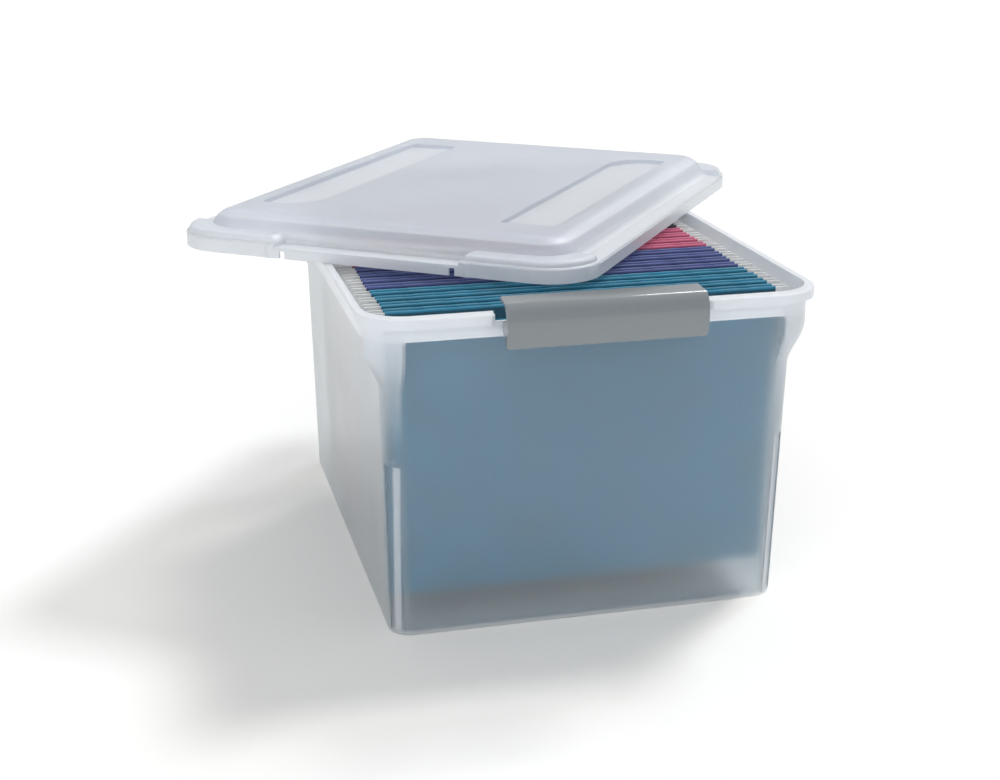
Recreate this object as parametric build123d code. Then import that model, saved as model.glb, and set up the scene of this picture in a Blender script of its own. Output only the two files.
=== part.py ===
from build123d import *
import os
from math import cos, hypot, radians, sqrt, tan

# Portable file box: a frosted tub with a flanged rim, a hollow domed lid that lies askew on the
# rim, two carrying latches that swing on moulded pins, and hanging folders whose hooks rest on
# ledges inside the tub. Millimetres. The origin is the centre of the tub's base on the floor,
# X runs along the latches, Y along the long sides (the front latch is at -Y) and Z is up.

# ---------------------------------------------------------------- tub
TUB_HEIGHT = 256.3  # floor to the top of the rim
BASE_WIDTH = 312.0  # footprint, along X
BASE_DEPTH = 399.0  # footprint, along Y
BASE_CORNER = 18.0  # plan radius of the walls' vertical corners
WALL = 2.2  # wall of every tub surface
FLOOR = 2.6  # thickness of the tub's floor
WALL_DRAFT = 1.1  # degrees that the walls lean out
BOTTOM_ROUND = 3.0  # radius where the walls meet the floor, outside
PAD_DIAMETER = 40.0  # round pads raised in the floor near its corners, hollow below
PAD_INSET = 45.0  # pad centres from the footprint's edges
PAD_RISE = 1.2

COLLAR_SIDE = 16.7  # flared corner posts beyond the footprint, at each long side
COLLAR_END = 15.1  # flared corner posts beyond the footprint, at each latch end
COLLAR_CORNER = 33.0  # plan radius of the collar
COLLAR_HEIGHT = 28.3  # top of the flare to the top of the rim
FLARE_HEIGHT = 35.0  # height over which the corner posts flare
FLARE_CURVE = ((0, -0.03), (0.25, 0.14), (0.5, 0.5), (0.75, 0.86), (1, 1))  # rise, share of flare
PANEL_DROP = 18.8  # top of the rim down to the flat panels that lie between the corner posts
PANEL_END_INSET = 12.0  # footprint's corner to the flat panel on each latch end
PANEL_SIDE_INSET = 7.5  # footprint's corner to the flat panel on each long side

RIM_SIDE = 4.05  # rim beyond the collar, at each long side
RIM_END = 9.3  # rim beyond the collar, at each latch end
RIM_CORNER = 39.0  # plan radius of the rim
RIM_BAND = 7.6  # height of the rim's turned-down band
RIM_ROUND = 1.6  # radius along the rim's top outer edge
SILL_DROP = 7.3  # top of the rim down to the wall's edge in the gap that a latch stands in
GAP_ROUND = 5.0  # plan radius of the rim's ends beside the gap

GUIDE_HEIGHT = 138.0  # top of the stepped guides in the lower corners
GUIDE_WIDTH = 13.0  # width of a guide across the corner
GUIDE_DEPTH = 2.6  # depth that a guide is set back

# ---------------------------------------------------------------- latches
PIN_DROP = 14.9  # top of the rim down to the latch pivot
PIN_REACH = 12.4  # latch pivot in front of the collar's face
PIN_DIAMETER = 5.0
PIN_CLEARANCE = 0.1  # radial play of a latch clip on its pin
LUG_CENTRE = 48.0  # middle of each pin from the tub's middle plane
LUG_SPAN = 18.0  # clear length of a pin between its two lugs
LUG_THICKNESS = 3.0
LUG_RADIUS = 4.0  # rounded end of a lug
LUG_ROOT = 5.2  # height of a lug where it meets the tub

LATCH_LENGTH = 151.0
LATCH_CLEARANCE = 4.5  # each end of a latch to the rim's end and to the lid's recess
LATCH_STATIONS = (-1, -0.6, 0, 0.6, 1)  # where a latch's section is set, in half lengths
LATCH_SHELL = 2.5
LATCH_DROP = 8.4  # pivot down to the latch's lower edge
LATCH_FRONT = 10.0  # pivot out to the fullest part of the latch
LATCH_TUCK = 2.4  # lower edge behind the fullest part
RIDGE_RISE = 23.9  # pivot up to the ridge along the top of the front
RIDGE_FRONT = 2.0  # pivot out to that ridge
LATCH_RISE = 25.6  # pivot up to the latch's inner top edge
LATCH_CURL = 13.0  # pivot in to the latch's inner top edge
SCOOP_DEPTH = 3.4  # finger scoop between ridge and inner edge, at mid length
LATCH_CORNER = 4.0  # radius of the latch's corners, seen from the front
LATCH_CORNER_EASE = 1.0  # the frame that trims those corners, beyond the latch's edges
CLIP_WALL = 2.0
CLIP_MOUTH = 3.8  # opening through which a clip snaps over its pin
CLIP_SIDE_CLEARANCE = 1.0  # between a clip and each lug
CATCH_LENGTH = 110.0  # length of the rib that holds the lid's lip down
CATCH_THICKNESS = 2.2
CATCH_REACH = 9.0  # pivot in to the end of the rib
CATCH_ROOT = 8.15  # pivot out to the rib's root inside the shell
CATCH_CLEARANCE = 0.4  # rib above the shut lid's lip
GUSSET_INSET = 1.3  # end of the latch to the middle of its gusset
GUSSET_THICKNESS = 2.4  # the gussets enter slots in the shut lid's lip
GUSSET_LEAN = 0.4  # top of a gusset's front edge behind its fullest part

# ---------------------------------------------------------------- lid
LID_WALL = 2.2
LID_SIDE_CLEARANCE = 2.05  # inside of the shut lid's skirt to the rim, at each long side
LID_END_CLEARANCE = 2.4  # inside of the shut lid's skirt to the rim, at each latch end
LID_CORNER_EASE = 0.8  # plan radius inside the skirt's corners, over the rim's
SKIRT_HEIGHT = 12.0  # skirt edge to the top of the flange
SKIRT_ROUND = 1.8
LID_HEIGHT = 28.5  # skirt edge to the top of the plateau
PLATEAU_INSET = 18.0  # skirt to the foot of the plateau
PLATEAU_CORNER = 30.0
PLATEAU_DRAFT = 10.0  # degrees
SHOULDER_ROUND = 20.0  # radius of the plateau's shoulder
COVE_ROUND = 8.0  # hollow radius between plateau and flange, along the long sides
STEP_DEPTH = 1.0  # step along the top of the skirt's long sides
STEP_HEIGHT = 2.4
RAIL_INSET = 2.6  # skirt to the raised rails on the lid's short ends
RAIL_HEIGHT = 4.8  # rails above the flange
RAIL_ROUND = 3.6
RAIL_END_ROUND = 7.0  # radius at the ends of the rails, beside the recesses
LIP_HEIGHT = 8.5  # top of the lip that a latch holds, above the skirt edge
RECESS_CLEARANCE = 2.5  # inner edge of the latch to the back of its recess in the shut lid
COLUMN_RADIUS = 6.0  # half-round columns beside the recess
COLUMN_PROUD = 1.2  # columns in front of the skirt
COLUMN_DROP = 1.0  # top of the flange down to the columns' tops
SLOT_CLEARANCE = 1.3  # each side of a latch gusset in its lip slot
SLOT_HEIGHT = 6.0
SLOT_REACH = 6.6  # skirt in to the end of a lip slot
CHANNEL_INSET = 48.0  # skirt to each channel's outer edge
CHANNEL_WIDTH = 47.0
CHANNEL_END = 72.5  # skirt to each end of a channel
CHANNEL_DEPTH = 3.8
CHANNEL_SWEEP = 36.0  # large radius at one inner corner of each channel
CHANNEL_ROUND = 7.0  # radius at a channel's outer corners

# how the lid lies: pushed back and turned, level, its skirt on the rim
LID_SHIFT_X = -12.9
LID_SHIFT_Y = 121.9
LID_TURN = -35.9  # degrees about the vertical

# ---------------------------------------------------------------- hanging folders
FOLDER_COLOURS = ("teal", "indigo", "red", "charcoal")
FOLDERS_PER_COLOUR = 4
FOLDER_PITCH = 18.5
FIRST_FOLDER = 19.5  # front end of the ledge to the first folder's middle
FOLDER_CLEARANCE = 1.8  # each side of the card to the tub's wall at the floor
CREASE_RISE = 22.0  # floor inside the tub up to a folder's crease
HEM_SPACING = 7.5  # between the middles of a folder's two hems
HEM_HEIGHT = 10.6
CARD = 0.5
CREASE_WIDTH = 3.0
BAR_THICKNESS = 1.6
BAR_HEIGHT = 9.0
BAR_RISE = 10.1  # top of a bar above the ledge
BAR_CLEARANCE = 0.3  # card to bar
HOOK_CLEARANCE = 5.5  # end of a hook to the inside of the collar
HOOK_NECK = 5.2  # height of the hook's neck
HOOK_FOOT = 3.6  # length of the foot that stands on the ledge
HOOK_BEVEL = 1.5

# ---------------------------------------------------------------- places that follow
BEYOND = 1000.0  # longer than anything that is cut through
OVERCUT = 1.0  # how far a cutter passes the face it opens
SAME = 0.01  # places nearer than this are the same place
SHY = 0.05  # distance to a face that would otherwise only be touched along a line
lean = tan(radians(WALL_DRAFT))
collar_width = BASE_WIDTH + 2 * COLLAR_SIDE
collar_depth = BASE_DEPTH + 2 * COLLAR_END
rim_width = collar_width + 2 * RIM_SIDE
rim_depth = collar_depth + 2 * RIM_END
gap_width = LATCH_LENGTH + 2 * LATCH_CLEARANCE
sill_height = TUB_HEIGHT - SILL_DROP
flare_top = TUB_HEIGHT - COLLAR_HEIGHT
panel_top = TUB_HEIGHT - PANEL_DROP
panel_end_width = BASE_WIDTH - 2 * PANEL_END_INSET
panel_side_depth = BASE_DEPTH - 2 * PANEL_SIDE_INSET
ledge_height = panel_top + WALL

pin_y = -(collar_depth / 2 + PIN_REACH)
pin_height = TUB_HEIGHT - PIN_DROP
gusset_x = LATCH_LENGTH / 2 - GUSSET_INSET

lid_width = rim_width + 2 * (LID_SIDE_CLEARANCE + LID_WALL)
lid_depth = rim_depth + 2 * (LID_END_CLEARANCE + LID_WALL)
lid_corner = RIM_CORNER + LID_CORNER_EASE + LID_WALL
shut_lid_height = TUB_HEIGHT - (SKIRT_HEIGHT - LID_WALL)  # skirt edge when the lid is shut
recess_back = -pin_y - LATCH_CURL - RECESS_CLEARANCE  # lid's middle to the back of a recess
lid_straight = lid_depth - 2 * lid_corner  # length of the skirt's long sides between its corners
plateau_straight = lid_depth - 2 * (PLATEAU_INSET + PLATEAU_CORNER)
shoulder_height = LID_HEIGHT - SHOULDER_ROUND  # centre of the shoulder's arc
shoulder_inset = (PLATEAU_INSET + (shoulder_height - LIP_HEIGHT) * tan(radians(PLATEAU_DRAFT))
                  + SHOULDER_ROUND / cos(radians(PLATEAU_DRAFT)))
cove_height = SKIRT_HEIGHT + COVE_ROUND  # centre of the cove's arc
cove_run = sqrt((SHOULDER_ROUND + COVE_ROUND) ** 2 - (cove_height - shoulder_height) ** 2)

folder_width = BASE_WIDTH - 2 * (WALL + FOLDER_CLEARANCE)
hook_reach = collar_width / 2 - WALL - HOOK_CLEARANCE
bar_top = ledge_height + BAR_RISE
card_top = bar_top + BAR_CLEARANCE + CARD
crease_height = FLOOR + CREASE_RISE


def section(width, depth, corner, height):
    """A rounded rectangle at a height."""
    return Plane.XY.offset(height) * RectangleRounded(width, depth, corner)


def block(width, depth, corner, bottom, top):
    """An upright block with rounded corners."""
    return extrude(section(width, depth, corner, bottom), top - bottom)


def span(x_range, y_range, z_range):
    """A square block between pairs of coordinates."""
    ranges = (x_range, y_range, z_range)
    middle = [(low + high) / 2 for low, high in ranges]
    size = [high - low for low, high in ranges]
    return Pos(*middle) * Box(*size)


def across_x(width, z_range):
    """A square block of a width that passes right through along Y."""
    return span((-width / 2, width / 2), (-BEYOND, BEYOND), z_range)


def across_y(depth, z_range):
    """A square block of a depth that passes right through along X."""
    return span((-BEYOND, BEYOND), (-depth / 2, depth / 2), z_range)


def both_ends(solid):
    """A shape at the front together with its copy, turned half round, at the rear."""
    return solid + Rot(0, 0, 180) * solid


# ================================================================ tub
def wall_section(height, inward, flare=0.0):
    """The wall's outline at a height, set inward, and flared part of the way out to the collar."""
    grow = 2 * height * lean
    wide = BASE_WIDTH + grow
    deep = BASE_DEPTH + grow
    wide += flare * (collar_width - wide) - 2 * inward
    deep += flare * (collar_depth - deep) - 2 * inward
    corner = BASE_CORNER + flare * (COLLAR_CORNER - BASE_CORNER) - inward
    return section(wide, deep, corner, height)


def corner_guide(inward):
    """An upright cutter that leans with the wall, for the corner at +X and +Y."""
    width = GUIDE_WIDTH + 2 * inward
    floor = BASE_CORNER - GUIDE_DEPTH - inward
    faces = []
    for height in (BOTTOM_ROUND - inward, GUIDE_HEIGHT + inward):
        centre = (BASE_WIDTH / 2 - BASE_CORNER, BASE_DEPTH / 2 - BASE_CORNER, height)
        near = floor + sqrt(2) * height * lean
        face = Pos(near + BASE_CORNER / 2, 0) * Rectangle(BASE_CORNER, width)
        faces.append(Pos(*centre) * Rot(0, 0, 45) * face)
    return loft(faces)


def tub_form(inward):
    """The tub's shape without its rim, set inward from the outside by a wall or by nothing."""
    bottom = FLOOR if inward else 0.0
    top = panel_top + inward
    form = loft([wall_section(bottom, inward), wall_section(top, inward)])
    edges = form.edges().group_by(Axis.Z)[0]
    form = fillet(edges, BOTTOM_ROUND - inward)
    curve = [wall_section(flare_top - (1 - rise) * FLARE_HEIGHT, inward, flare)
             for rise, flare in FLARE_CURVE]
    posts = loft(curve)
    posts += extrude(curve[-1], COLLAR_HEIGHT)
    posts -= across_x(panel_end_width + 2 * inward, (0, top))
    posts -= across_y(panel_side_depth + 2 * inward, (0, top))
    form += posts
    guide = corner_guide(inward)
    for mirrored in (guide, mirror(guide, Plane.YZ)):
        form -= both_ends(mirrored)
    return form


def rim():
    """The flat rim and its turned-down band, hollow below and broken for the latches."""
    bottom = TUB_HEIGHT - RIM_BAND
    outline = RectangleRounded(rim_width, rim_depth, RIM_CORNER)
    for y in (-rim_depth / 2, rim_depth / 2):
        outline -= Pos(0, y) * Rectangle(gap_width, 2 * RIM_END)
    beside_gap = outline.vertices().filter_by(
        lambda v: abs(abs(v.Y) - rim_depth / 2) < SAME and abs(abs(v.X) - gap_width / 2) < SAME)
    outline = fillet(beside_gap, GAP_ROUND)
    solid = Pos(0, 0, bottom) * extrude(outline, RIM_BAND)
    solid = fillet(solid.edges().group_by(Axis.Z)[-1], RIM_ROUND)
    hollow = block(rim_width - 2 * WALL, rim_depth - 2 * WALL, RIM_CORNER - WALL,
                   bottom, TUB_HEIGHT - WALL)
    hollow -= across_x(gap_width + 2 * WALL, (0, TUB_HEIGHT))
    return solid - hollow


def latch_pins():
    """Two pins between paired lugs, standing out from the front of the collar."""
    face = -collar_depth / 2
    root_middle = panel_top + LUG_ROOT / 2
    root = Pos(face + WALL / 4, root_middle) * Rectangle(WALL / 2, LUG_ROOT)
    tip = Pos(pin_y, pin_height) * Circle(LUG_RADIUS)
    outline = make_hull(root.edges() + tip.edges())
    lug = extrude(Plane.YZ * outline, LUG_THICKNESS / 2, both=True)
    offset_x = (LUG_SPAN + LUG_THICKNESS) / 2
    pin = Pos(0, pin_y, pin_height) * Rot(0, 90, 0) * Cylinder(PIN_DIAMETER / 2, 2 * offset_x)
    one = pin + Pos(-offset_x, 0, 0) * lug + Pos(offset_x, 0, 0) * lug
    return Pos(-LUG_CENTRE, 0, 0) * one + Pos(LUG_CENTRE, 0, 0) * one


def floor_pads(radius, z_range):
    """Discs near the four corners of the floor."""
    x_step = BASE_WIDTH - 2 * PAD_INSET
    y_step = BASE_DEPTH - 2 * PAD_INSET
    disc = Pos(0, 0, sum(z_range) / 2) * Cylinder(radius, z_range[1] - z_range[0])
    return [place * disc for place in GridLocations(x_step, y_step, 2, 2)]


def make_tub():
    """The moulded tub: leaning walls, flared corner posts, ledges, rim, guides and latch pins."""
    tub = tub_form(0) + rim()
    cavity = tub_form(WALL)
    pad = PAD_DIAMETER / 2
    cavity -= floor_pads(pad, (0, FLOOR + PAD_RISE))
    tub -= cavity
    tub -= floor_pads(pad - WALL, (0, PAD_RISE))
    tub -= across_x(gap_width, (sill_height, TUB_HEIGHT + OVERCUT))
    return tub + both_ends(latch_pins())


# ================================================================ latches
def inner_points(points):
    """Points set in from a curve by the latch's shell, square to the chord at each point."""
    shifted = []
    last = len(points) - 1
    for index, (y, z) in enumerate(points):
        before = points[max(index - 1, 0)]
        after = points[min(index + 1, last)]
        dy = after[0] - before[0]
        dz = after[1] - before[1]
        length = hypot(dy, dz)
        shifted.append((y + LATCH_SHELL * dz / length, z - LATCH_SHELL * dy / length))
    return shifted


def latch_section(x, scoop):
    """The C-shaped wall across the latch at x, with its top sunk by a scoop."""
    front = [
        (-LATCH_FRONT + LATCH_TUCK, -LATCH_DROP), (-LATCH_FRONT, RIDGE_RISE / 4),
        (-LATCH_FRONT + RIDGE_FRONT, RIDGE_RISE * 3 / 4), (-RIDGE_FRONT, RIDGE_RISE)]
    tip = (LATCH_CURL, LATCH_RISE)
    dip = ((LATCH_CURL - RIDGE_FRONT) / 2, (RIDGE_RISE + LATCH_RISE) / 2 - scoop)
    outer = front + [dip, tip]
    inner = inner_points(outer)
    edges = [
        Spline(outer[:4]), Spline(outer[3:]), Line(outer[-1], inner[-1]),
        Spline(inner[:2:-1]), Spline(inner[3::-1]), Line(inner[0], outer[0])]
    return Plane.YZ.offset(x) * make_face(edges)


def latch_clip():
    """An open ring that snaps over a pin, with the web that joins it to the shell."""
    bore = PIN_DIAMETER / 2 + PIN_CLEARANCE
    ring = Circle(bore + CLIP_WALL)
    reach = LATCH_FRONT - LATCH_SHELL / 2
    web = Pos(-reach / 2, 0) * Rectangle(reach, 2 * CLIP_WALL)
    mouth = Pos(bore + CLIP_WALL, 0) * Rectangle(2 * bore + CLIP_WALL, CLIP_MOUTH)
    outline = ring + web - Circle(bore) - mouth
    length = LUG_SPAN - 2 * CLIP_SIDE_CLEARANCE
    return extrude(Plane.YZ * outline, length / 2, both=True)


def latch_gusset():
    """An end gusset that stiffens the shell and drops into a slot in the lid's lip."""
    top = shut_lid_height + SLOT_HEIGHT - SLOT_CLEARANCE / 2 - pin_height
    skin = LATCH_SHELL / 2 - LATCH_FRONT
    outline = Polyline(
        (skin + LATCH_TUCK, LATCH_SHELL / 2 - LATCH_DROP), (skin, top / 3), (skin + GUSSET_LEAN, top),
        (PIN_DIAMETER / 2, top), (PIN_DIAMETER, top / 2), (-PIN_DIAMETER / 4, -LATCH_DROP / 2),
        close=True)
    return extrude(Plane.YZ * make_face(outline), GUSSET_THICKNESS / 2, both=True)


def make_latch():
    """The front latch, about its pivot: shell with a finger scoop, clips, catch rib and gussets."""
    half = LATCH_LENGTH / 2
    sections = [latch_section(share * half, SCOOP_DEPTH * (1 - share ** 2))
                for share in LATCH_STATIONS]
    latch = loft(sections)
    height = LATCH_RISE + LATCH_DROP + 2 * LATCH_CORNER_EASE
    frame = Pos(0, (LATCH_RISE - LATCH_DROP) / 2) * RectangleRounded(LATCH_LENGTH, height, LATCH_CORNER)
    latch &= extrude(Plane.XZ * frame, 2 * LATCH_RISE, both=True)
    clip = latch_clip()
    gusset = latch_gusset()
    rib_bottom = shut_lid_height + LIP_HEIGHT + CATCH_CLEARANCE - pin_height
    latch += span((-CATCH_LENGTH / 2, CATCH_LENGTH / 2), (-CATCH_ROOT, CATCH_REACH),
                  (rib_bottom, rib_bottom + CATCH_THICKNESS))
    for side in (-1, 1):
        latch += Pos(side * LUG_CENTRE, 0, 0) * clip
        latch += Pos(side * gusset_x, 0, 0) * gusset
    return Pos(0, pin_y, pin_height) * latch


# ================================================================ lid
def lid_rails(inward):
    """Raised rails over the flange at the lid's four corners, beside the latch recesses."""
    inset = 2 * (RAIL_INSET + inward)
    top = SKIRT_HEIGHT + RAIL_HEIGHT - inward
    rails = block(lid_width - inset, lid_depth - inset, lid_corner - inset / 2, LIP_HEIGHT, top)
    seam = lid_straight + 2 * inward
    rails -= across_y(seam, (0, LID_HEIGHT))
    rails -= across_x(gap_width + 2 * inward, (0, LID_HEIGHT))
    ends = rails.edges().group_by(Axis.Z)[-1].filter_by(Axis.Y)
    rails = fillet(ends, RAIL_END_ROUND - inward)
    end_foot = top - RAIL_END_ROUND + inward
    edges = [edge for edge in rails.edges().filter_by(Axis.Y, reverse=True)
             if edge.center().Z > end_foot and abs(abs(edge.center().Y) - seam / 2) > SAME]
    return fillet(edges, RAIL_ROUND - inward)


def cove(inward, length):
    """The hollow radius along the foot of the plateau's long side at +X, filled in below."""
    shoulder = lid_width / 2 - shoulder_inset
    share = (SHOULDER_ROUND - inward + SHY) / (SHOULDER_ROUND + COVE_ROUND)
    end = (shoulder + share * cove_run, shoulder_height + share * (cove_height - shoulder_height))
    start = (shoulder + cove_run, SKIRT_HEIGHT - inward)
    foot = LIP_HEIGHT - inward
    edges = [
        RadiusArc(start, end, COVE_ROUND + inward),
        Polyline(end, (shoulder, end[1]), (shoulder, foot), (start[0], foot), start)]
    return extrude(Plane.XZ * make_face(edges), length / 2, both=True)


def channel(inward):
    """The stacking channel at +X: one inner corner swept, the other square."""
    outer = lid_width / 2 - CHANNEL_INSET + inward
    width = CHANNEL_WIDTH + 2 * inward
    length = lid_depth - 2 * (CHANNEL_END - inward)
    middle = outer - width / 2
    outline = Pos(middle, 0) * Rectangle(width, length)
    swept = outline.vertices().filter_by(lambda v: v.X < middle and v.Y > 0)
    outline = fillet(swept, CHANNEL_SWEEP)
    rounded = outline.vertices().filter_by(lambda v: abs(v.X - outer) < SAME)
    outline = fillet(rounded, CHANNEL_ROUND + inward)
    depth = CHANNEL_DEPTH + inward
    return Pos(0, 0, LID_HEIGHT - depth) * extrude(outline, depth + OVERCUT)


def lid_form(inward):
    """The lid's shape, set inward from the outside by a wall or by nothing."""
    open_by = OVERCUT if inward else 0.0
    form = block(lid_width - 2 * inward, lid_depth - 2 * inward, lid_corner - inward,
                 -open_by, SKIRT_HEIGHT - inward)
    if not inward:
        form = fillet(form.edges().group_by(Axis.Z)[-1], SKIRT_ROUND)
    column_y = lid_depth / 2 - COLUMN_RADIUS + COLUMN_PROUD
    column = Pos(gap_width / 2 + COLUMN_RADIUS, column_y) * Circle(COLUMN_RADIUS - inward)
    columns = Pos(0, 0, -open_by) * extrude(column, SKIRT_HEIGHT - COLUMN_DROP - inward + open_by)
    form += both_ends(columns)
    form += both_ends(mirror(columns, Plane.YZ))
    form += lid_rails(inward)
    foot = LIP_HEIGHT - inward
    inset = 2 * (PLATEAU_INSET + inward)
    plateau = extrude(
        section(lid_width - inset, lid_depth - inset, PLATEAU_CORNER - inward, foot),
        LID_HEIGHT - LIP_HEIGHT, taper=PLATEAU_DRAFT)
    plateau = fillet(plateau.edges().group_by(Axis.Z)[-1], SHOULDER_ROUND - inward)
    half = gap_width / 2 + inward
    recess = span((-half, half), (-lid_depth, inward - recess_back), (foot, LID_HEIGHT))
    form -= both_ends(recess)
    form += plateau
    form += both_ends(cove(inward, plateau_straight if inward else lid_straight + 2 * OVERCUT))
    if not inward:
        step = span((lid_width / 2 - STEP_DEPTH, lid_width), (-lid_straight / 2, lid_straight / 2),
                    (SKIRT_HEIGHT - STEP_HEIGHT, LID_HEIGHT))
        form -= both_ends(step)
    return form - both_ends(channel(inward))


def make_lid():
    """The moulded lid, level with its skirt edge at zero and its middle at the origin."""
    lid = lid_form(0) - lid_form(LID_WALL)
    width = GUSSET_THICKNESS + 2 * SLOT_CLEARANCE
    outer = lid_depth / 2
    for side in (-1, 1):
        middle = side * gusset_x
        slot = span((middle - width / 2, middle + width / 2),
                    (outer - SLOT_REACH, outer + OVERCUT), (-OVERCUT, SLOT_HEIGHT))
        lid -= both_ends(slot)
    return lid


# ================================================================ hanging folders
def make_folder(y):
    """A folded card with a hem along the top of each flap, hanging with its middle at y."""
    top = card_top
    hem = BAR_THICKNESS / 2 + BAR_CLEARANCE + CARD
    outer = HEM_SPACING / 2 + hem
    inner = HEM_SPACING / 2 - hem
    hem_end = top - HEM_HEIGHT
    bend = hem_end - 2 * CARD
    half = [
        (CREASE_WIDTH / 2, crease_height), (outer, bend), (outer, top), (inner, top),
        (inner, hem_end), (inner + CARD, hem_end), (inner + CARD, top - CARD),
        (outer - CARD, top - CARD), (outer - CARD, bend),
        ((CREASE_WIDTH - CARD) / 2, crease_height + CARD)]
    mirrored = [(-side, height) for side, height in reversed(half)]
    outline = make_face(Polyline(half + mirrored, close=True))
    return Pos(0, y, 0) * extrude(Plane.YZ * outline, folder_width / 2, both=True)


def make_hangers(y):
    """The two flat bars in a folder's hems, with a hook at each end that stands on the ledge."""
    foot = hook_reach - HOOK_FOOT
    neck = bar_top - HOOK_NECK
    shoulder = folder_width / 2 + BAR_CLEARANCE
    half = [
        (shoulder, bar_top - BAR_HEIGHT), (shoulder, neck), (foot, neck), (foot, ledge_height),
        (hook_reach, ledge_height), (hook_reach, bar_top - HOOK_BEVEL),
        (hook_reach - HOOK_BEVEL, bar_top)]
    mirrored = [(-x, height) for x, height in reversed(half)]
    outline = make_face(Polyline(half + mirrored, close=True))
    bar = extrude(Plane.XZ * outline, BAR_THICKNESS / 2, both=True)
    return Compound([Pos(0, y + side * HEM_SPACING / 2, 0) * bar for side in (-1, 1)])


# ================================================================ the whole box
def make_parts():
    """Every piece by name."""
    latch = make_latch()
    lie = Pos(LID_SHIFT_X, LID_SHIFT_Y, TUB_HEIGHT) * Rot(0, 0, LID_TURN)
    parts = {
        "tub": make_tub(),
        "lid": lie * make_lid(),
        "front_latch": latch,
        "rear_latch": Rot(0, 0, 180) * latch,
    }
    y = -panel_side_depth / 2 + FIRST_FOLDER
    for colour in FOLDER_COLOURS:
        for number in range(1, FOLDERS_PER_COLOUR + 1):
            parts[f"{colour}_folder_{number}"] = make_folder(y)
            parts[f"{colour}_hangers_{number}"] = make_hangers(y)
            y += FOLDER_PITCH
    return parts


os.makedirs("parts", exist_ok=True)
for name, part in make_parts().items():
    export_step(part, f"parts/{name}.step")
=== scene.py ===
from math import cos, pi, radians, sin

import bmesh
import bpy
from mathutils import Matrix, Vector


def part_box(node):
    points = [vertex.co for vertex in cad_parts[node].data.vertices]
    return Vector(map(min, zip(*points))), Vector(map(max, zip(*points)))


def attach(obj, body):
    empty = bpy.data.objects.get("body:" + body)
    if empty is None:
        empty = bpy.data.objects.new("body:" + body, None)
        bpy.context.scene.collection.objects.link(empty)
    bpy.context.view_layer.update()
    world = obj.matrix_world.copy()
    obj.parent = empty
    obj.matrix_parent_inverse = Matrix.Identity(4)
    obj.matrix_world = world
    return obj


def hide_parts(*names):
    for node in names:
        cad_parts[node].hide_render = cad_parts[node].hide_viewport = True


# Dresses the portable file box: frosted polypropylene for the tub and the lid, satin ABS for the
# latches, dyed card for the hanging folders and coated steel for the bars that carry them. It also
# makes the stage. Metres; the origin is the centre of the tub's base, the front latch is at -Y.

bl_info = {
    "name": "Portable File Box",
    "version": (1, 0, 0),
    "blender": (4, 5, 0),
    "location": "3D View > Sidebar > File Box",
    "description": "Makes the folders and finishes of a portable file box, with its stage",
    "category": "Object",
}

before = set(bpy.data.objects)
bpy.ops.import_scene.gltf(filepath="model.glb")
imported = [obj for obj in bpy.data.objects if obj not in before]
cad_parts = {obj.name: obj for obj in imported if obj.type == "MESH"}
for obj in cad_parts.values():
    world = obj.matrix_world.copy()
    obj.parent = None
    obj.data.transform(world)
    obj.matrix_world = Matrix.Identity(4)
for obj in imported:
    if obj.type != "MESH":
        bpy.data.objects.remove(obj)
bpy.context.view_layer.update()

MM = 0.001
COLOURS = ("teal", "indigo", "red", "charcoal")
PER_COLOUR = 4

# farther than any part of the box
FAR = 1.0
# where the plastic is milky: from, to, soft width outside, and how milky it is at most. The tub's
# are heights above its base, and for the post and the rib also distances from its middle.
RIM = (237 * MM, 300 * MM, 3 * MM, 1)
FOOT = (-10 * MM, 3 * MM, 1.5 * MM, 0.75)
POST = (147 * MM, FAR, 3 * MM, 0.8)
POST_HEIGHT = (240 * MM, FAR, 90 * MM, 1)
RIB = (147.6 * MM, 151 * MM, 0.8 * MM, 1)
RIB_HEIGHT = (-FAR, 137 * MM, 1 * MM, 0.7)
# the lid's are heights as it lies on the rim
SKIRT = (-FAR, 268 * MM, 11 * MM, 1)
CHANNEL_FLOOR = (280.4 * MM, 281.6 * MM, 0.4 * MM, 0.9)
# share of a lamp's light that each face of a shell lets through
TUB_THROUGH, LID_THROUGH = 0.9, 0.6

# rounded edges of the moulded latches and of the bars
LATCH_EDGE, BAR_EDGE = 0.35 * MM, 0.25 * MM
SHARP = radians(40)
WELD = 0.002 * MM

# steps of a folder's leaf from its crease to its hem, and degrees of a hem's bend in one step
LEAF_STEPS = 8
BEND_STEP = 30
# a hem's bend radius, as a share of the hem's width
BEND_SHARE = 0.37
# how close a point has to be to count as on an edge
NEAR = 0.01 * MM
# size of the card's waves, and how fast the slide changes from folder to folder
WAVE_SIZE = 0.11
SLIDE_RATE = 400
CARD_SHARP = radians(35)

# sockets of a Mix node that mixes colours
FACTOR, FIRST, SECOND, MIXED = 0, 6, 7, 2

# the stage: its lamps by the direction that they shine from
FLOOR_SIZE = 60.0
KEY_HEIGHT = radians(51)
KEY_FROM = (0.766 * cos(KEY_HEIGHT), 0.643 * cos(KEY_HEIGHT), sin(KEY_HEIGHT))
TOP_FROM, TOP_ANGLE = (0.1, 0.3, 1.0), radians(90)
FILL_FROM, FILL_ANGLE = (-0.35, -0.75, 0.56), radians(60)
SKY_IN_GLOSS = 0.3
CAMERA_PLACE = (-0.3494, -1.2990, 0.5662)
CAMERA_YAW, CAMERA_PITCH = radians(14.184), radians(-18.265)
SENSOR_WIDTH = 36.0


def linear(hex_colour):
    """An sRGB hex colour as linear red, green and blue."""
    channels = [int(hex_colour[place:place + 2], 16) / 255 for place in (1, 3, 5)]
    return tuple(c / 12.92 if c <= 0.04045 else ((c + 0.055) / 1.055) ** 2.4 for c in channels)


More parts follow.
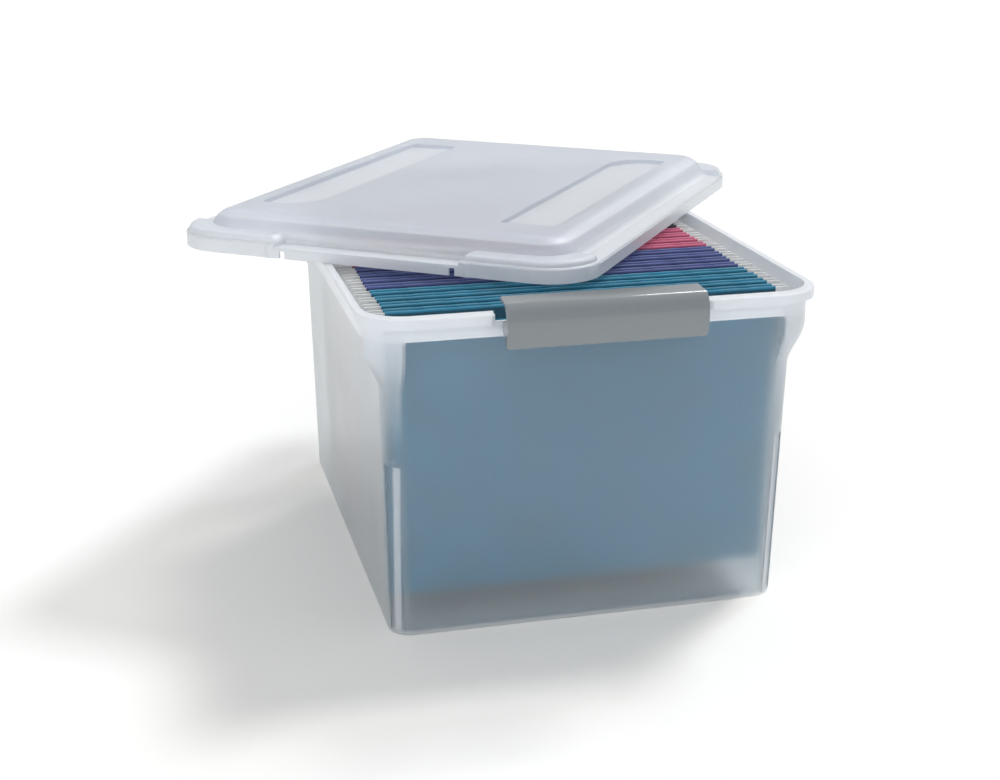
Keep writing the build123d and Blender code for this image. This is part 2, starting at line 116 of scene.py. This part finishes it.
# ================================================================ what a user may change
class FileBoxPlastics(bpy.types.PropertyGroup):
    """Colours and surfaces of the moulded pieces."""
    tub_tint: bpy.props.FloatVectorProperty(
        name="Tub tint", description="Tint of the light that the tub's thin wall lets through",
        subtype="COLOR", size=3, min=0, max=1, default=linear("#E1E9EE"))
    lid_tint: bpy.props.FloatVectorProperty(
        name="Lid tint", description="Tint of the light that the lid's thin wall lets through",
        subtype="COLOR", size=3, min=0, max=1, default=linear("#E8EDF6"))
    milk: bpy.props.FloatVectorProperty(
        name="Milky wall", description="Tint of the light that a thick wall scatters back",
        subtype="COLOR", size=3, min=0, max=1, default=linear("#F2F6FB"))
    tub_haze: bpy.props.FloatProperty(
        name="Tub haze", description="Share of the light that the tub's wall scatters back",
        subtype="FACTOR", min=0, max=1, default=0.06)
    lid_haze: bpy.props.FloatProperty(
        name="Lid haze", description="Share of the light that the lid's wall scatters back",
        subtype="FACTOR", min=0, max=1, default=0.36)
    thick_haze: bpy.props.FloatProperty(
        name="Thick haze", description="The same share at the rim and where the wall is thickest",
        subtype="FACTOR", min=0, max=1, default=0.58)
    glance: bpy.props.FloatProperty(
        name="Glancing haze", description="Haze that is added where the tub is seen edge on",
        subtype="FACTOR", min=0, max=1, default=0.18)
    frost: bpy.props.FloatProperty(
        name="Frost", description="Roughness inside the frosted wall",
        subtype="FACTOR", min=0, max=1, default=0.38)
    gloss: bpy.props.FloatProperty(
        name="Skin roughness", description="Roughness of the moulded skin",
        subtype="FACTOR", min=0, max=1, default=0.1)
    latch: bpy.props.FloatVectorProperty(
        name="Latch", description="Colour of the two latches",
        subtype="COLOR", size=3, min=0, max=1, default=linear("#7C8388"))
    hanger: bpy.props.FloatVectorProperty(
        name="Hanger", description="Colour of the coated bars",
        subtype="COLOR", size=3, min=0, max=1, default=linear("#E9EAEA"))


class FileBoxFolders(bpy.types.PropertyGroup):
    """Sizes and colours of the hanging folders."""
    card: bpy.props.FloatProperty(
        name="Card", description="Thickness of the folder card",
        unit="LENGTH", subtype="DISTANCE", min=0.2 * MM, max=1 * MM, default=0.5 * MM)
    crease: bpy.props.FloatProperty(
        name="Crease width", description="Flat strip along the bottom of a folder",
        unit="LENGTH", subtype="DISTANCE", min=1 * MM, max=6 * MM, default=3 * MM)
    hem: bpy.props.FloatProperty(
        name="Hem height", description="Card folded down over a bar",
        unit="LENGTH", subtype="DISTANCE", min=6 * MM, max=14 * MM, default=10.6 * MM)
    hem_width: bpy.props.FloatProperty(
        name="Hem width", description="Across one hem, outside",
        unit="LENGTH", subtype="DISTANCE", min=2 * MM, max=5 * MM, default=3.2 * MM)
    slot_pitch: bpy.props.FloatProperty(
        name="Slot pitch", description="From one tab slot to the next",
        unit="LENGTH", subtype="DISTANCE", min=15 * MM, max=50 * MM, default=25.4 * MM)
    slot_length: bpy.props.FloatProperty(
        name="Slot length", description="Length of a tab slot along the hem",
        unit="LENGTH", subtype="DISTANCE", min=5 * MM, max=14 * MM, default=9 * MM)
    slide: bpy.props.FloatProperty(
        name="Slide", description="How far a card has slid along its bars, at most",
        unit="LENGTH", subtype="DISTANCE", min=0, max=2 * MM, default=0.8 * MM)
    wave: bpy.props.FloatProperty(
        name="Wave", description="How far the card leaves its plane",
        unit="LENGTH", subtype="DISTANCE", min=0, max=2 * MM, default=1 * MM)
    teal: bpy.props.FloatVectorProperty(
        name="Teal", description="Colour of the first folders",
        subtype="COLOR", size=3, min=0, max=1, default=linear("#2282A4"))
    indigo: bpy.props.FloatVectorProperty(
        name="Indigo", description="Colour of the second folders",
        subtype="COLOR", size=3, min=0, max=1, default=linear("#4B5995"))
    red: bpy.props.FloatVectorProperty(
        name="Red", description="Colour of the third folders",
        subtype="COLOR", size=3, min=0, max=1, default=linear("#D26488"))
    charcoal: bpy.props.FloatVectorProperty(
        name="Charcoal", description="Colour of the last folders",
        subtype="COLOR", size=3, min=0, max=1, default=linear("#34383C"))


class FileBoxStage(bpy.types.PropertyGroup):
    """Floor, light and camera."""
    floor: bpy.props.FloatVectorProperty(
        name="Floor", description="Colour of the floor",
        subtype="COLOR", size=3, min=0, max=1, default=linear("#F8F8F7"))
    lift: bpy.props.FloatProperty(
        name="Floor lift", description="Plain white added to the floor as the camera sees it",
        subtype="FACTOR", min=0, max=1, default=0.05)
    sky: bpy.props.FloatProperty(
        name="Sky", description="Strength of the soft light from all round",
        min=0, max=2, default=0.42)
    top: bpy.props.FloatProperty(
        name="Top light", description="Irradiance of the wide light from overhead",
        min=0, max=10, default=0.25)
    fill: bpy.props.FloatProperty(
        name="Fill light", description="Irradiance of the wide light from the front",
        min=0, max=10, default=0.75)
    key: bpy.props.FloatProperty(
        name="Key light", description="Irradiance of the light from behind and to the right",
        min=0, max=10, default=1.3)
    glint: bpy.props.FloatProperty(
        name="Glint", description="The part of the key light that glossy surfaces reflect",
        min=0, max=10, default=0.5)
    key_angle: bpy.props.FloatProperty(
        name="Key width", description="Angle that the key light fills, which softens its shadow",
        unit="ROTATION", subtype="ANGLE", min=0, max=pi, default=radians(12))
    lens: bpy.props.FloatProperty(
        name="Lens", description="Focal length of the camera",
        unit="CAMERA", min=10, max=200, default=58.6)


class FileBoxSettings(bpy.types.PropertyGroup):
    """Everything that a user may change."""
    plastics: bpy.props.PointerProperty(type=FileBoxPlastics)
    folders: bpy.props.PointerProperty(type=FileBoxFolders)
    stage: bpy.props.PointerProperty(type=FileBoxStage)


# ================================================================ materials
def add_node(tree, kind, settings=None, links=None):
    """Adds a shader node, sets its properties and sockets by name or number, and links inputs."""
    node = tree.nodes.new(kind)
    for name, value in (settings or {}).items():
        if isinstance(name, int) or name in node.inputs:
            node.inputs[name].default_value = value
        else:
            setattr(node, name, value)
    for name, output in (links or {}).items():
        tree.links.new(output, node.inputs[name])
    return node


def blank_material(name):
    """A node material with nothing in it."""
    material = bpy.data.materials.new(name)
    material.use_nodes = True
    material.node_tree.nodes.clear()
    return material


def grain(tree, size, low=None, high=None, detail=2.0, stretch=(1, 1, 1)):
    """Noise with features of a size in metres, stretched along an axis.

    Given low and high, the noise's middle third is spread from one to the other.
    """
    place = add_node(tree, "ShaderNodeTexCoord")
    point = add_node(
        tree, "ShaderNodeMapping", {"Scale": tuple(1 / (size * s) for s in stretch)},
        {"Vector": place.outputs["Object"]})
    noise = add_node(
        tree, "ShaderNodeTexNoise", {"Scale": 1.0, "Detail": detail, "Roughness": 0.55},
        {"Vector": point.outputs["Vector"]})
    if low is None:
        return noise.outputs["Fac"]
    ranged = add_node(
        tree, "ShaderNodeMapRange",
        {"From Min": 0.35, "From Max": 0.65, "To Min": low, "To Max": high},
        {"Value": noise.outputs["Fac"]})
    return ranged.outputs["Result"]


def band(tree, value, low, high, soft, amount=1):
    """An amount where a value lies from low to high, fading to zero over a soft width outside."""
    rise = add_node(
        tree, "ShaderNodeMapRange", {"From Min": low - soft, "From Max": low}, {"Value": value})
    fall = add_node(
        tree, "ShaderNodeMapRange",
        {"From Min": high, "From Max": high + soft, "To Min": amount, "To Max": 0},
        {"Value": value})
    both = add_node(
        tree, "ShaderNodeMath", {"operation": "MULTIPLY"},
        {0: rise.outputs["Result"], 1: fall.outputs["Result"]})
    return both.outputs[0]


def tub_milk(tree):
    """Where the tub's plastic is thick: the rim and ledge, the posts with their ribs, the foot."""
    place = add_node(tree, "ShaderNodeTexCoord")
    parted = add_node(tree, "ShaderNodeSeparateXYZ", links={"Vector": place.outputs["Object"]})
    height = parted.outputs["Z"]
    across = add_node(
        tree, "ShaderNodeMath", {"operation": "ABSOLUTE"}, {0: parted.outputs["X"]}).outputs[0]
    # the posts get thicker towards the rim
    posts = add_node(
        tree, "ShaderNodeMath", {"operation": "MULTIPLY"},
        {0: band(tree, across, *POST), 1: band(tree, height, *POST_HEIGHT)})
    # low down each post ends in a thick rib that stands beside its corner
    ribs = add_node(
        tree, "ShaderNodeMath", {"operation": "MULTIPLY"},
        {0: band(tree, across, *RIB), 1: band(tree, height, *RIB_HEIGHT)})
    thick = band(tree, height, *RIM)
    for part in (band(tree, height, *FOOT), posts.outputs[0], ribs.outputs[0]):
        thick = add_node(
            tree, "ShaderNodeMath", {"operation": "MAXIMUM"}, {0: thick, 1: part}).outputs[0]
    return thick


def lid_milk(tree):
    """Where the lid is milkier: its skirt, flange and rails, and its channels' floors."""
    place = add_node(tree, "ShaderNodeTexCoord")
    parted = add_node(tree, "ShaderNodeSeparateXYZ", links={"Vector": place.outputs["Object"]})
    height = parted.outputs["Z"]
    thick = add_node(
        tree, "ShaderNodeMath", {"operation": "MAXIMUM"},
        {0: band(tree, height, *SKIRT), 1: band(tree, height, *CHANNEL_FLOOR)})
    return thick.outputs[0]


def frosted_polypropylene(plastics, tint, haze, glance, through, milk, name):
    """Natural polypropylene from a fine-blasted mould: a clear glossy skin over a milky wall.

    The wall lets most light through but blurs it, so things close behind it show as soft colour.
    Where the plastic is thick it scatters light back and looks milky. Through is what a lamp's
    light keeps at each face.
    """
    material = blank_material(name)
    tree = material.node_tree
    frost = grain(tree, 60 * MM, plastics.frost - 0.02, plastics.frost + 0.02)
    # the blasted mould's grit, drawn at 0.7 mm because the real 0.1 mm would not show
    grit = add_node(
        tree, "ShaderNodeBump", {"Strength": 0.04, "Distance": 0.1 * MM},
        {"Height": grain(tree, 0.7 * MM)})
    thick = milk(tree)
    wall = add_node(
        tree, "ShaderNodeMapRange", {"To Min": 1 - haze, "To Max": 1 - plastics.thick_haze},
        {"Value": thick})
    # at a glancing angle the light crosses more of the milky plastic
    edge_on = add_node(tree, "ShaderNodeLayerWeight", {"Blend": 0.5})
    squared = add_node(
        tree, "ShaderNodeMath", {"operation": "POWER", 1: 2.0}, {0: edge_on.outputs["Facing"]})
    glancing = add_node(
        tree, "ShaderNodeMath", {"operation": "MULTIPLY", 1: glance}, {0: squared.outputs[0]})
    clear_share = add_node(
        tree, "ShaderNodeMath", {"operation": "SUBTRACT"},
        {0: wall.outputs["Result"], 1: glancing.outputs[0]})
    tone = add_node(
        tree, "ShaderNodeMix",
        {"data_type": "RGBA", FIRST: (*tint, 1), SECOND: (*plastics.milk, 1)}, {FACTOR: thick})
    plastic = add_node(
        tree, "ShaderNodeBsdfPrincipled",
        {"IOR": 1.49, "Coat Weight": 0.35, "Coat Roughness": plastics.gloss, "Coat IOR": 1.49},
        {"Base Color": tone.outputs[MIXED], "Roughness": frost,
         "Normal": grit.outputs["Normal"], "Transmission Weight": clear_share.outputs[0]})
    # light from the lamps reaches what is inside, a little warmer at each face
    light_path = add_node(tree, "ShaderNodeLightPath")
    clear = add_node(
        tree, "ShaderNodeBsdfTransparent",
        {"Color": (through, through * 0.985, through * 0.96, 1)})
    mixed = add_node(
        tree, "ShaderNodeMixShader",
        links={0: light_path.outputs["Is Shadow Ray"], 1: plastic.outputs["BSDF"],
               2: clear.outputs["BSDF"]})
    add_node(tree, "ShaderNodeOutputMaterial", links={"Surface": mixed.outputs["Shader"]})
    return material


def satin_abs(colour, name="ABS, injection moulded, spark-eroded satin"):
    """Pigmented ABS from a spark-eroded mould: even grey with a soft, wide highlight."""
    material = blank_material(name)
    tree = material.node_tree
    # the eroded grain is about 0.2 mm, drawn at 0.5 mm so that it shows
    pits = add_node(
        tree, "ShaderNodeBump", {"Strength": 0.12, "Distance": 0.08 * MM},
        {"Height": grain(tree, 0.5 * MM)})
    dark, light = ((*(c * f for c in colour), 1) for f in (0.94, 1.05))
    tone = add_node(
        tree, "ShaderNodeMix", {"data_type": "RGBA", FIRST: dark, SECOND: light},
        {FACTOR: grain(tree, 3 * MM, detail=4.0)})
    plastic = add_node(
        tree, "ShaderNodeBsdfPrincipled",
        {"IOR": 1.53, "Coat Weight": 1.0, "Coat Roughness": 0.1, "Coat IOR": 1.53},
        {"Base Color": tone.outputs[MIXED], "Roughness": grain(tree, 14 * MM, 0.32, 0.4),
         "Normal": pits.outputs["Normal"]})
    add_node(tree, "ShaderNodeOutputMaterial", links={"Surface": plastic.outputs["BSDF"]})
    return material


def coated_steel(colour, name="steel strip, nylon coated"):
    """Cold-rolled steel strip dipped in pale nylon: a slightly uneven, half-gloss coat."""
    material = blank_material(name)
    tree = material.node_tree
    coat = add_node(
        tree, "ShaderNodeBump", {"Strength": 0.15, "Distance": 0.1 * MM},
        {"Height": grain(tree, 2.2 * MM)})
    dull = tuple(c * 0.86 for c in colour)
    tone = add_node(
        tree, "ShaderNodeMix",
        {"data_type": "RGBA", FIRST: (*dull, 1), SECOND: (*colour, 1)},
        {FACTOR: grain(tree, 5 * MM, 0, 1)})
    steel = add_node(
        tree, "ShaderNodeBsdfPrincipled", {"IOR": 1.53},
        {"Base Color": tone.outputs[MIXED], "Roughness": grain(tree, 9 * MM, 0.34, 0.48),
         "Normal": coat.outputs["Normal"]})
    add_node(tree, "ShaderNodeOutputMaterial", links={"Surface": steel.outputs["BSDF"]})
    return material


def dyed_card(colour, name, crest):
    """Pulp-dyed pressboard: matt card with long fibres, pale wear and a painted highlight along
    its top folds, and painted shade on the sides of its hems.
    """
    material = blank_material(name)
    tree = material.node_tree
    place = add_node(tree, "ShaderNodeTexCoord")
    parted = add_node(tree, "ShaderNodeSeparateXYZ", links={"Vector": place.outputs["Object"]})
    height = parted.outputs["Z"]
    # fibres are about 0.05 mm thick and 2 mm long, drawn about five times as coarse to show
    fibres = grain(tree, 0.25 * MM, detail=3.0, stretch=(24, 1, 3))
    mottle = add_node(
        tree, "ShaderNodeMath", {"operation": "ADD"}, {0: fibres, 1: grain(tree, 30 * MM)})
    shade = add_node(
        tree, "ShaderNodeMapRange", {"From Min": 0.7, "From Max": 1.3},
        {"Value": mottle.outputs[0]})
    dark, light = ((*(min(c * f, 1) for c in colour), 1) for f in (0.8, 1.22))
    tone = add_node(
        tree, "ShaderNodeMix", {"data_type": "RGBA", FIRST: dark, SECOND: light},
        {FACTOR: shade.outputs["Result"]})
    # the folded edge along the top is paler, in patches: partly rubbed wear, partly a painted
    # highlight
    wear_and_highlight = add_node(
        tree, "ShaderNodeMath", {"operation": "MULTIPLY"},
        {0: band(tree, height, crest, FAR, 1.2 * MM, 0.5),
         1: grain(tree, 8 * MM, 0.5, 1, stretch=(5, 1, 1))})
    pale = (*(0.8 * c + 0.12 for c in colour), 1)
    rubbed_and_highlit_tone = add_node(
        tree, "ShaderNodeMix", {"data_type": "RGBA", SECOND: pale},
        {FACTOR: wear_and_highlight.outputs[0], FIRST: tone.outputs[MIXED]})
    # the sides of a hem are darkened: painted shade of the narrow gaps between the hems
    hem_shade_tone = add_node(
        tree, "ShaderNodeMix", {"data_type": "RGBA", SECOND: (*(c * 0.3 for c in colour), 1)},
        {FACTOR: band(tree, height, crest - 10 * MM, crest - 2.2 * MM, 1 * MM),
         FIRST: rubbed_and_highlit_tone.outputs[MIXED]})
    relief = add_node(
        tree, "ShaderNodeBump", {"Strength": 0.25, "Distance": 0.06 * MM}, {"Height": fibres})
    card = add_node(
        tree, "ShaderNodeBsdfPrincipled",
        {"IOR": 1.5, "Sheen Weight": 0.12, "Sheen Roughness": 0.5},
        {"Base Color": hem_shade_tone.outputs[MIXED], "Roughness": grain(tree, 30 * MM, 0.62, 0.74),
         "Normal": relief.outputs["Normal"]})
    add_node(tree, "ShaderNodeOutputMaterial", links={"Surface": card.outputs["BSDF"]})
    return material


def seen_directly(tree, in_gloss=1.0):
    """One for rays from the camera or through a clear surface, in_gloss off a glossy one."""
    path = add_node(tree, "ShaderNodeLightPath")
    gloss = add_node(
        tree, "ShaderNodeMath", {"operation": "MULTIPLY", 1: in_gloss},
        {0: path.outputs["Is Glossy Ray"]})
    near = add_node(
        tree, "ShaderNodeMath", {"operation": "MAXIMUM"},
        {0: path.outputs["Is Camera Ray"], 1: gloss.outputs[0]})
    seen = add_node(
        tree, "ShaderNodeMath", {"operation": "MAXIMUM"},
        {0: near.outputs[0], 1: path.outputs["Is Transmission Ray"]})
    return seen.outputs[0]


def studio_laminate(stage):
    """Matt pale laminate: an even white that keeps a soft shadow."""
    material = blank_material("studio floor, matt laminate")
    tree = material.node_tree
    matt = add_node(
        tree, "ShaderNodeBsdfPrincipled",
        {"Base Color": (*stage.floor, 1), "Roughness": 0.6, "Specular IOR Level": 0.2})
    lift = add_node(
        tree, "ShaderNodeMath", {"operation": "MULTIPLY", 1: stage.lift},
        {0: seen_directly(tree)})
    glow = add_node(tree, "ShaderNodeEmission", links={"Strength": lift.outputs[0]})
    both = add_node(
        tree, "ShaderNodeAddShader",
        links={0: matt.outputs["BSDF"], 1: glow.outputs["Emission"]})
    add_node(tree, "ShaderNodeOutputMaterial", links={"Surface": both.outputs["Shader"]})
    return material


# ================================================================ modelling by hand, in code
def deselect():
    """Leaves object mode with nothing selected."""
    if bpy.context.object and bpy.context.object.mode != "OBJECT":
        bpy.ops.object.mode_set(mode="OBJECT")
    bpy.ops.object.select_all(action="DESELECT")


def choose(piece):
    """Makes a piece the only one selected, and active."""
    deselect()
    piece.select_set(True)
    bpy.context.view_layer.objects.active = piece


def pick(kind, test):
    """Selects, in edit mode, the edges or faces whose middle passes a test."""
    bpy.ops.mesh.select_mode(type=kind)
    bpy.ops.mesh.select_all(action="DESELECT")
    mesh = bpy.context.object.data
    shape = bmesh.from_edit_mesh(mesh)
    for each in shape.edges if kind == "EDGE" else shape.faces:
        corners = [vertex.co for vertex in each.verts]
        each.select_set(test(sum(corners, Vector()) / len(corners)))
    bmesh.update_edit_mesh(mesh)


def finish_node(node, material, edge):
    """Welds and bevels a CAD node as it shows, and gives it its material."""
    node.data.materials.clear()
    node.data.materials.append(material)
    weld = node.modifiers.new("weld", "WELD")
    weld.merge_threshold = WELD
    if edge:
        bevel = node.modifiers.new("edges", "BEVEL")
        bevel.width = edge
        bevel.segments = 2
        bevel.limit_method = "ANGLE"
        bevel.angle_limit = SHARP


# ================================================================ folders
def leaf_profile(low, high, folders):
    """How far out and how high a folder's leaf runs, from its crease up and round its hem."""
    half_card = folders.card / 2
    start = (folders.crease - folders.card) / 2
    bottom, top = low.z + half_card, high.z - half_card
    outer = (high.y - low.y) / 2 - half_card
    inner = outer - folders.hem_width + folders.card
    radius = (outer - inner) * BEND_SHARE
    hem_end = high.z - folders.hem
    leaf_end = hem_end - 2 * folders.card
    profile = [(start, bottom)]
    for step in range(1, LEAF_STEPS + 1):
        share = step / LEAF_STEPS
        profile.append((start + share * (outer - start), bottom + share * (leaf_end - bottom)))
    for centre, first in ((outer - radius, 0), (inner + radius, 90)):
        for turn in range(first, first + 91, BEND_STEP):
            angle = radians(turn)
            profile.append((centre + radius * cos(angle), top - radius + radius * sin(angle)))
    profile.append((inner, hem_end))
    return profile


def card_sheet(low, high, folders):
    """The folded sheet of one hanging folder, without thickness, in its box."""
    profile = leaf_profile(low, high, folders)
    start, bottom = profile[0]
    middle = (low.y + high.y) / 2
    bpy.ops.mesh.primitive_plane_add(size=1, location=(0, middle, bottom))
    sheet = bpy.context.object
    bpy.ops.object.mode_set(mode="EDIT")
    bpy.ops.transform.resize(
        value=(high.x - low.x, 2 * start, 1), center_override=(0, middle, bottom))
    bpy.ops.object.mode_set(mode="OBJECT")
    bpy.ops.object.transform_apply(location=True, rotation=True, scale=True)
    bpy.ops.object.mode_set(mode="EDIT")
    for side in (1, -1):
        edge = Vector((0, middle + side * start, bottom))
        pick("EDGE", lambda point: (point - edge).length < NEAR)
        for here, there in zip(profile, profile[1:]):
            move = (0, side * (there[0] - here[0]), there[1] - here[1])
            bpy.ops.mesh.extrude_region_move(TRANSFORM_OT_translate={"value": move})
    bpy.ops.mesh.select_all(action="SELECT")
    bpy.ops.mesh.remove_doubles(threshold=0.005 * MM)
    bpy.ops.mesh.normals_make_consistent(inside=False)
    bpy.ops.object.mode_set(mode="OBJECT")
    return sheet


def cut_slots(low, high, folders, drift):
    """Cuts the row of tab slots along the crests of both hems, a little to one side."""
    count = int((high.x - low.x - folders.slot_length) / folders.slot_pitch)
    first = drift - folders.slot_pitch * (count - 1) / 2
    slots = []
    for number in range(count):
        centre = first + number * folders.slot_pitch
        slots.append((centre - folders.slot_length / 2, centre + folders.slot_length / 2))
    for ends in slots:
        for place in ends:
            bpy.ops.mesh.select_all(action="SELECT")
            bpy.ops.mesh.bisect(plane_co=(place, 0, 0), plane_no=(1, 0, 0))
    crest = high.z - folders.card / 2 - NEAR
    pick("FACE", lambda point: point.z > crest and any(a < point.x < b for a, b in slots))
    bpy.ops.mesh.delete(type="FACE")


def card_piece(sheet, name, place, folders, low, high):
    """A copy of the sheet for one folder: moved to its place, waved, thickened and smoothed.

    The card has slid a little along its bars, differently on each folder.
    """
    choose(sheet)
    bpy.ops.object.duplicate()
    piece = bpy.context.object
    piece.name = name
    piece.data.name = name
    slid = folders.slide * sin(place * SLIDE_RATE)
    bpy.ops.transform.translate(value=(slid, place, 0))
    bpy.ops.object.transform_apply(location=True, rotation=True, scale=True)
    bpy.ops.object.mode_set(mode="EDIT")
    cut_slots(low, high, folders, slid)
    bpy.ops.object.mode_set(mode="OBJECT")
    flap = piece.vertex_groups.new(name="flap")
    hem_end = high.z - folders.hem
    for vertex in piece.data.vertices:
        share = (vertex.co.z - low.z) / (hem_end - low.z)
        if share < 1:
            flap.add([vertex.index], max(0.0, sin(pi * share)) ** 0.7, "REPLACE")
    clouds = bpy.data.textures.get("card waves") or bpy.data.textures.new("card waves", "CLOUDS")
    clouds.noise_scale = WAVE_SIZE
    wave = piece.modifiers.new("wave", "DISPLACE")
    wave.texture = clouds
    wave.texture_coords = "LOCAL"
    wave.direction = "Y"
    wave.strength = folders.wave
    wave.vertex_group = "flap"
    thickness = piece.modifiers.new("card", "SOLIDIFY")
    thickness.thickness = folders.card
    thickness.offset = 0
    for modifier in ("wave", "card"):
        bpy.ops.object.modifier_apply(modifier=modifier)
    bpy.ops.object.shade_smooth_by_angle(angle=CARD_SHARP)
    return piece


# ================================================================ stage
def make_floor(stage):
    """A wide pale floor that keeps the object's shadow."""
    deselect()
    bpy.ops.mesh.primitive_plane_add(size=FLOOR_SIZE, location=(0, 0, 0))
    floor = bpy.context.object
    floor.name = "floor"
    floor.data.materials.append(studio_laminate(stage))


def make_world(scene, stage):
    """A soft light from all round that is plain white where it is seen."""
    world = bpy.data.worlds.new("studio")
    scene.world = world
    world.use_nodes = True
    tree = world.node_tree
    tree.nodes.clear()
    soft = add_node(tree, "ShaderNodeBackground", {"Color": (1, 1, 1, 1), "Strength": stage.sky})
    white = add_node(tree, "ShaderNodeBackground", {"Color": (1, 1, 1, 1), "Strength": 1.0})
    mixed = add_node(
        tree, "ShaderNodeMixShader",
        links={0: seen_directly(tree, SKY_IN_GLOSS), 1: soft.outputs["Background"],
               2: white.outputs["Background"]})
    add_node(tree, "ShaderNodeOutputWorld", links={"Surface": mixed.outputs["Shader"]})


def make_lights(scene, stage):
    """A key behind and to the right, and wide lights overhead and in front."""
    suns = (
        ("key", stage.key, stage.key_angle, KEY_FROM),
        ("glint", stage.glint, stage.key_angle, KEY_FROM),
        ("top", stage.top, TOP_ANGLE, TOP_FROM),
        ("fill", stage.fill, FILL_ANGLE, FILL_FROM))
    for name, strength, angle, towards in suns:
        lamp = bpy.data.lights.new(name, "SUN")
        lamp.energy = strength
        lamp.angle = angle
        sun = bpy.data.objects.new(name, lamp)
        scene.collection.objects.link(sun)
        sun.rotation_euler = Vector(towards).to_track_quat("Z", "Y").to_euler()
        # the glint alone stands for the key light in gloss and through the frosted walls
        sun.visible_glossy = name != "key"
        sun.visible_transmission = name != "key"


def make_camera(scene, stage):
    """The camera in front, to the left and above."""
    lens = bpy.data.cameras.new("camera")
    lens.lens = stage.lens
    lens.sensor_width = SENSOR_WIDTH
    camera = bpy.data.objects.new("camera", lens)
    scene.collection.objects.link(camera)
    level = cos(CAMERA_PITCH)
    forward = Vector((sin(CAMERA_YAW) * level, cos(CAMERA_YAW) * level, sin(CAMERA_PITCH)))
    camera.location = CAMERA_PLACE
    camera.rotation_euler = forward.to_track_quat("-Z", "Y").to_euler()
    scene.camera = camera


# ================================================================ operators
class FILEBOX_OT_stage(bpy.types.Operator):
    """Makes the floor, the lights and the camera"""
    bl_idname = "filebox.stage"
    bl_label = "Stage"

    def execute(self, context):
        stage = context.scene.file_box.stage
        context.scene.view_settings.view_transform = "Standard"
        make_floor(stage)
        make_world(context.scene, stage)
        make_lights(context.scene, stage)
        make_camera(context.scene, stage)
        return {"FINISHED"}


class FILEBOX_OT_shells(bpy.types.Operator):
    """Finishes the frosted tub and lid"""
    bl_idname = "filebox.shells"
    bl_label = "Tub and lid"

    def execute(self, context):
        plastics = context.scene.file_box.plastics
        finish = "frosted polypropylene, injection moulded"
        tub = frosted_polypropylene(
            plastics, plastics.tub_tint, plastics.tub_haze, plastics.glance, TUB_THROUGH,
            tub_milk, f"{finish}, tub")
        finish_node(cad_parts["tub"], tub, 0)
        lid = frosted_polypropylene(
            plastics, plastics.lid_tint, plastics.lid_haze, 0, LID_THROUGH, lid_milk,
            f"{finish}, lid")
        finish_node(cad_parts["lid"], lid, 0)
        return {"FINISHED"}


class FILEBOX_OT_latches(bpy.types.Operator):
    """Finishes the two latches"""
    bl_idname = "filebox.latches"
    bl_label = "Latches"

    def execute(self, context):
        material = satin_abs(tuple(context.scene.file_box.plastics.latch))
        for name in ("front_latch", "rear_latch"):
            finish_node(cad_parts[name], material, LATCH_EDGE)
        return {"FINISHED"}


class FILEBOX_OT_hangers(bpy.types.Operator):
    """Finishes the hooked bars"""
    bl_idname = "filebox.hangers"
    bl_label = "Hooked bars"

    def execute(self, context):
        material = coated_steel(tuple(context.scene.file_box.plastics.hanger))
        for colour in COLOURS:
            for number in range(1, PER_COLOUR + 1):
                finish_node(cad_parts[f"{colour}_hangers_{number}"], material, BAR_EDGE)
        return {"FINISHED"}


class FILEBOX_OT_folders(bpy.types.Operator):
    """Makes the hanging folders"""
    bl_idname = "filebox.folders"
    bl_label = "Hanging folders"

    def execute(self, context):
        folders = context.scene.file_box.folders
        deselect()
        low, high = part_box("teal_folder_1")
        sheet = card_sheet(low, high, folders)
        for colour in COLOURS:
            material = dyed_card(
                tuple(getattr(folders, colour)), f"pressboard, pulp dyed, {colour}", high.z)
            for number in range(1, PER_COLOUR + 1):
                node = f"{colour}_folder_{number}"
                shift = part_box(node)[0].y - low.y
                piece = card_piece(sheet, f"{colour}_card_{number}", shift, folders, low, high)
                piece.data.materials.append(material)
                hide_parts(node)
                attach(piece, f"{colour}_file_{number}")
        bpy.data.objects.remove(sheet)
        return {"FINISHED"}


class FILEBOX_PT_pieces(bpy.types.Panel):
    """Lists the operators that make the box"""
    bl_label = "File Box"
    bl_space_type = "VIEW_3D"
    bl_region_type = "UI"
    bl_category = "File Box"

    def draw(self, context):
        for operator in OPERATORS:
            self.layout.operator(operator.bl_idname)


OPERATORS = (
    FILEBOX_OT_stage, FILEBOX_OT_shells, FILEBOX_OT_latches, FILEBOX_OT_hangers,
    FILEBOX_OT_folders)
CLASSES = (
    FileBoxPlastics, FileBoxFolders, FileBoxStage, FileBoxSettings, *OPERATORS, FILEBOX_PT_pieces)


def register():
    """Registers the classes and hangs the settings on the scene."""
    for each in CLASSES:
        bpy.utils.register_class(each)
    bpy.types.Scene.file_box = bpy.props.PointerProperty(type=FileBoxSettings)


def unregister():
    """Takes the settings and classes away again."""
    del bpy.types.Scene.file_box
    for each in reversed(CLASSES):
        bpy.utils.unregister_class(each)


def main():
    """Makes the stage and every piece."""
    register()
    bpy.ops.filebox.stage()
    bpy.ops.filebox.shells()
    bpy.ops.filebox.latches()
    bpy.ops.filebox.hangers()
    bpy.ops.filebox.folders()


if __name__ == "__main__":
    main()
